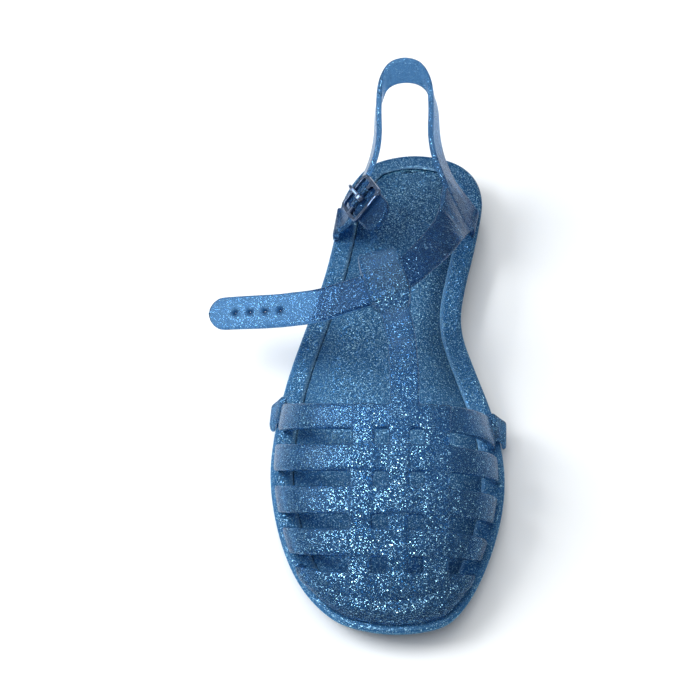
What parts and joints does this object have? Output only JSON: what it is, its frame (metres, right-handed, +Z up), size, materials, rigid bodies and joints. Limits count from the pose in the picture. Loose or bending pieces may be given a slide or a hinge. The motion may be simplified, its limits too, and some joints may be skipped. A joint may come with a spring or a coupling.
{
  "type": "jelly sandal",
  "caption": "Closed-toe jelly sandal in glittering blue moulded plastic: woven vamp, T-bar with a loop, heel strap and an open ankle strap with a metal buckle.",
  "frame": {"origin": "on the floor under the middle of the heel's flat spot", "axes": "+X across to the inner side of the foot, -Y towards the toe, +Z up"},
  "size_m": [0.1243, 0.2458, 0.0751],
  "materials": {
    "jelly": "clear glossy soft plastic with fine silver glitter",
    "deep_jelly": "thick glossy soft plastic with fine silver glitter, darker for its depth",
    "pad_jelly": "satin soft plastic with dense silver glitter",
    "buckle_metal": "bright plated wire, lightly worn"
  },
  "bodies": {
    "shoe": {"outsole": "deep_jelly", "footbed": "pad_jelly", "vamp": "jelly", "heel_strap": "jelly", "buckle_frame": "buckle_metal"},
    "prong": {"buckle_prong": "buckle_metal"}
  },
  "joints": [
    {"name": "prong_hinge", "type": "hinge", "parent": "shoe", "child": "prong", "pos_m": [-0.01718, -0.02209, 0.04074], "axis": [0.6348, 0.4632, 0.6184], "range_deg": [0, 145]}
  ]
}
